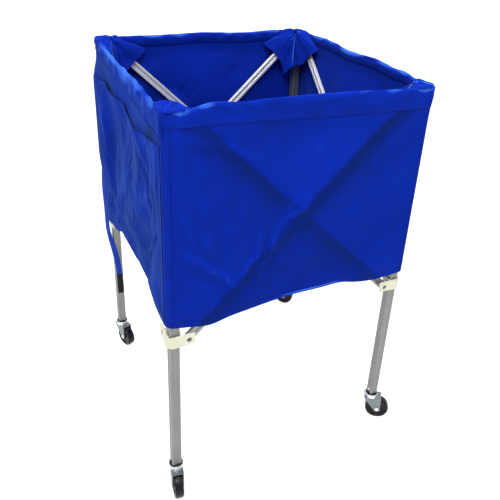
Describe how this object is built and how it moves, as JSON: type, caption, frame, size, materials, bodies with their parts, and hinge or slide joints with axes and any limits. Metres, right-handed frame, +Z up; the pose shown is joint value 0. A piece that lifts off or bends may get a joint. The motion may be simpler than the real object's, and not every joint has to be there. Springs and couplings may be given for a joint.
{
  "type": "folding ball cart",
  "caption": "Folding square ball cart: open cloth bag on a scissor frame of aluminium tube with sliding brackets, on swivel casters.",
  "frame": {"origin": "on the ground, under the middle of the whole outline, wheels included; the middle of the square frame itself is at x = -0.008, y = 0.016 m because the four casters are swivelled different ways", "axes": "+Z up; -Y is the front side, which faces the lower right of the picture; -X is the side with the pocket, on the left of the picture"},
  "size_m": [0.6394, 0.6368, 0.95],
  "materials": {
    "aluminium": "extruded and clear anodised, satin",
    "ivory_plastic": "moulded, fine satin",
    "black_plastic": "moulded, satin",
    "zinc_steel": "pressed and zinc plated",
    "dark_steel": "plated, slightly dull",
    "wheel_plastic": "moulded one-piece wheel, satin",
    "blue_nylon": "coated woven nylon with a soft sheen",
    "hook_tape": "sewn hook tape"
  },
  "bodies": {
    "corner_front_left": {"leg_front_left": "aluminium", "top_bracket_front_left": "ivory_plastic", "leg_plug_front_left": "black_plastic", "bag_panel_front": "blue_nylon", "bag_panel_left": "blue_nylon", "bag_pocket": "blue_nylon"},
    "corner_front_right": {"leg_front_right": "aluminium", "top_bracket_front_right": "ivory_plastic", "leg_plug_front_right": "black_plastic", "bag_panel_right": "blue_nylon"},
    "corner_back_right": {"leg_back_right": "aluminium", "top_bracket_back_right": "ivory_plastic", "leg_plug_back_right": "black_plastic"},
    "corner_back_left": {"leg_back_left": "aluminium", "top_bracket_back_left": "ivory_plastic", "leg_plug_back_left": "black_plastic", "bag_panel_back": "blue_nylon", "tie_strap": "blue_nylon", "tie_strap_hook_tape": "hook_tape"},
    "slider_front_left": {"slider_front_left": "ivory_plastic", "slider_screw_a_front_left": "dark_steel", "slider_screw_b_front_left": "dark_steel"},
    "slider_front_right": {"slider_front_right": "ivory_plastic", "slider_screw_a_front_right": "dark_steel", "slider_screw_b_front_right": "dark_steel"},
    "slider_back_right": {"slider_back_right": "ivory_plastic", "slider_screw_a_back_right": "dark_steel", "slider_screw_b_back_right": "dark_steel"},
    "slider_back_left": {"slider_back_left": "ivory_plastic", "slider_screw_a_back_left": "dark_steel", "slider_screw_b_back_left": "dark_steel"},
    "arm_inner_front": {"arm_inner_front": "aluminium", "cross_rivet_front": "dark_steel"},
    "arm_outer_front": {"arm_outer_front": "aluminium"},
    "arm_inner_right": {"arm_inner_right": "aluminium", "cross_rivet_right": "dark_steel"},
    "arm_outer_right": {"arm_outer_right": "aluminium"},
    "arm_outer_left": {"arm_outer_left": "aluminium", "cross_rivet_left": "dark_steel"},
    "arm_inner_left": {"arm_inner_left": "aluminium"},
    "arm_outer_back": {"arm_outer_back": "aluminium", "cross_rivet_back": "dark_steel"},
    "arm_inner_back": {"arm_inner_back": "aluminium"},
    "floor_front": {"bag_floor_front": "blue_nylon"},
    "floor_right": {"bag_floor_right": "blue_nylon"},
    "floor_back": {"bag_floor_back": "blue_nylon"},
    "floor_left": {"bag_floor_left": "blue_nylon"},
    "caster_front_left": {"caster_fork_front_left": "zinc_steel", "caster_axle_front_left": "zinc_steel"},
    "wheel_front_left": {"caster_wheel_front_left": "wheel_plastic"},
    "caster_front_right": {"caster_fork_front_right": "zinc_steel", "caster_axle_front_right": "zinc_steel"},
    "wheel_front_right": {"caster_wheel_front_right": "wheel_plastic"},
    "caster_back_right": {"caster_fork_back_right": "zinc_steel", "caster_axle_back_right": "zinc_steel"},
    "wheel_back_right": {"caster_wheel_back_right": "wheel_plastic"},
    "caster_back_left": {"caster_fork_back_left": "zinc_steel", "caster_axle_back_left": "zinc_steel"},
    "wheel_back_left": {"caster_wheel_back_left": "wheel_plastic"}
  },
  "joints": [
    {"name": "frame_fold", "type": "hinge", "parent": "corner_front_left", "child": "arm_inner_front", "pos_m": [-0.25876, -0.2648, 0.934], "axis": [0, 1, 0], "range_deg": [0, 36], "deforming": ["bag_panel_front", "bag_panel_right", "bag_panel_back", "bag_panel_left", "bag_floor_front", "bag_floor_right", "bag_floor_back", "bag_floor_left", "bag_pocket", "tie_strap", "tie_strap_hook_tape"]},
    {"name": "front_cross", "type": "hinge", "parent": "arm_inner_front", "child": "arm_outer_front", "pos_m": [-0.008, -0.2648, 0.691], "axis": [0, 1, 0], "range_deg": [-72, 0]},
    {"name": "front_right_top_pivot", "type": "hinge", "parent": "arm_outer_front", "child": "corner_front_right", "pos_m": [0.24276, -0.2648, 0.934], "axis": [0, 1, 0], "range_deg": [0, 36]},
    {"name": "front_right_slider_pivot", "type": "hinge", "parent": "arm_inner_front", "child": "slider_front_right", "pos_m": [0.24276, -0.2648, 0.448], "axis": [0, 1, 0], "range_deg": [-36, 0]},
    {"name": "front_left_slider_pivot", "type": "hinge", "parent": "arm_outer_front", "child": "slider_front_left", "pos_m": [-0.25876, -0.2648, 0.448], "axis": [0, 1, 0], "range_deg": [0, 36]},
    {"name": "right_fold", "type": "hinge", "parent": "corner_front_right", "child": "arm_inner_right", "pos_m": [0.2728, -0.23476, 0.934], "axis": [-1, 0, 0], "range_deg": [0, 36]},
    {"name": "right_cross", "type": "hinge", "parent": "arm_inner_right", "child": "arm_outer_right", "pos_m": [0.2728, 0.016, 0.691], "axis": [-1, 0, 0], "range_deg": [-72, 0]},
    {"name": "back_right_top_pivot", "type": "hinge", "parent": "arm_outer_right", "child": "corner_back_right", "pos_m": [0.2728, 0.26676, 0.934], "axis": [-1, 0, 0], "range_deg": [0, 36]},
    {"name": "back_right_slider_pivot", "type": "hinge", "parent": "arm_inner_right", "child": "slider_back_right", "pos_m": [0.2728, 0.26676, 0.448], "axis": [-1, 0, 0], "range_deg": [-36, 0]},
    {"name": "left_fold", "type": "hinge", "parent": "corner_front_left", "child": "arm_outer_left", "pos_m": [-0.2888, -0.23476, 0.934], "axis": [-1, 0, 0], "range_deg": [0, 36]},
    {"name": "left_cross", "type": "hinge", "parent": "arm_outer_left", "child": "arm_inner_left", "pos_m": [-0.2888, 0.016, 0.691], "axis": [-1, 0, 0], "range_deg": [-72, 0]},
    {"name": "back_left_top_pivot", "type": "hinge", "parent": "arm_inner_left", "child": "corner_back_left", "pos_m": [-0.2888, 0.26676, 0.934], "axis": [-1, 0, 0], "range_deg": [0, 36]},
    {"name": "back_left_slider_pivot", "type": "hinge", "parent": "arm_outer_left", "child": "slider_back_left", "pos_m": [-0.2888, 0.26676, 0.448], "axis": [-1, 0, 0], "range_deg": [-36, 0]},
    {"name": "back_fold", "type": "hinge", "parent": "corner_back_left", "child": "arm_outer_back", "pos_m": [-0.25876, 0.2968, 0.934], "axis": [0, 1, 0], "range_deg": [0, 36]},
    {"name": "back_cross", "type": "hinge", "parent": "arm_outer_back", "child": "arm_inner_back", "pos_m": [-0.008, 0.2968, 0.691], "axis": [0, 1, 0], "range_deg": [-72, 0]},
    {"name": "floor_front_fold", "type": "hinge", "parent": "corner_front_left", "child": "floor_front", "pos_m": [-0.008, -0.2803, 0.5111], "axis": [1, 0, 0], "range_deg": [0, 69.13]},
    {"name": "floor_left_fold", "type": "hinge", "parent": "corner_front_left", "child": "floor_left", "pos_m": [-0.3043, 0.016, 0.5111], "axis": [0, -1, 0], "range_deg": [0, 69.13]},
    {"name": "floor_right_fold", "type": "hinge", "parent": "corner_front_right", "child": "floor_right", "pos_m": [0.2883, 0.016, 0.5111], "axis": [0, 1, 0], "range_deg": [0, 69.13]},
    {"name": "floor_back_fold", "type": "hinge", "parent": "corner_back_left", "child": "floor_back", "pos_m": [-0.008, 0.3123, 0.5111], "axis": [-1, 0, 0], "range_deg": [0, 69.13]},
    {"name": "caster_swivel_front_left", "type": "hinge", "parent": "corner_front_left", "child": "caster_front_left", "pos_m": [-0.2888, -0.2648, 0.08], "axis": [0, 0, 1], "continuous": true},
    {"name": "wheel_spin_front_left", "type": "hinge", "parent": "caster_front_left", "child": "wheel_front_left", "pos_m": [-0.29158, -0.2846, 0.032], "axis": [0.9903, -0.1392, 0], "continuous": true},
    {"name": "caster_swivel_front_right", "type": "hinge", "parent": "corner_front_right", "child": "caster_front_right", "pos_m": [0.2728, -0.2648, 0.08], "axis": [0, 0, 1], "continuous": true},
    {"name": "wheel_spin_front_right", "type": "hinge", "parent": "caster_front_right", "child": "wheel_front_right", "pos_m": [0.28918, -0.27627, 0.032], "axis": [0.5736, 0.8192, 0], "continuous": true},
    {"name": "caster_swivel_back_right", "type": "hinge", "parent": "corner_back_right", "child": "caster_back_right", "pos_m": [0.2728, 0.2968, 0.08], "axis": [0, 0, 1], "continuous": true},
    {"name": "wheel_spin_back_right", "type": "hinge", "parent": "caster_back_right", "child": "wheel_back_right", "pos_m": [0.28618, 0.28194, 0.032], "axis": [0.7431, 0.6691, 0], "continuous": true},
    {"name": "caster_swivel_back_left", "type": "hinge", "parent": "corner_back_left", "child": "caster_back_left", "pos_m": [-0.2888, 0.2968, 0.08], "axis": [0, 0, 1], "continuous": true},
    {"name": "wheel_spin_back_left", "type": "hinge", "parent": "caster_back_left", "child": "wheel_back_left", "pos_m": [-0.28196, 0.27801, 0.032], "axis": [0.9397, 0.342, 0], "continuous": true}
  ],
  "couplings": [
    {"joint": "front_cross", "follows": "frame_fold", "ratio": -2},
    {"joint": "front_right_top_pivot", "follows": "frame_fold", "ratio": 1},
    {"joint": "front_right_slider_pivot", "follows": "frame_fold", "ratio": -1},
    {"joint": "front_left_slider_pivot", "follows": "frame_fold", "ratio": 1},
    {"joint": "right_fold", "follows": "frame_fold", "ratio": 1},
    {"joint": "right_cross", "follows": "frame_fold", "ratio": -2},
    {"joint": "back_right_top_pivot", "follows": "frame_fold", "ratio": 1},
    {"joint": "back_right_slider_pivot", "follows": "frame_fold", "ratio": -1},
    {"joint": "left_fold", "follows": "frame_fold", "ratio": 1},
    {"joint": "left_cross", "follows": "frame_fold", "ratio": -2},
    {"joint": "back_left_top_pivot", "follows": "frame_fold", "ratio": 1},
    {"joint": "back_left_slider_pivot", "follows": "frame_fold", "ratio": -1},
    {"joint": "back_fold", "follows": "frame_fold", "ratio": 1},
    {"joint": "back_cross", "follows": "frame_fold", "ratio": -2},
    {"joint": "floor_front_fold", "follows": "frame_fold", "ratio": 1.9202},
    {"joint": "floor_left_fold", "follows": "frame_fold", "ratio": 1.9202},
    {"joint": "floor_right_fold", "follows": "frame_fold", "ratio": 1.9202},
    {"joint": "floor_back_fold", "follows": "frame_fold", "ratio": 1.9202}
  ]
}
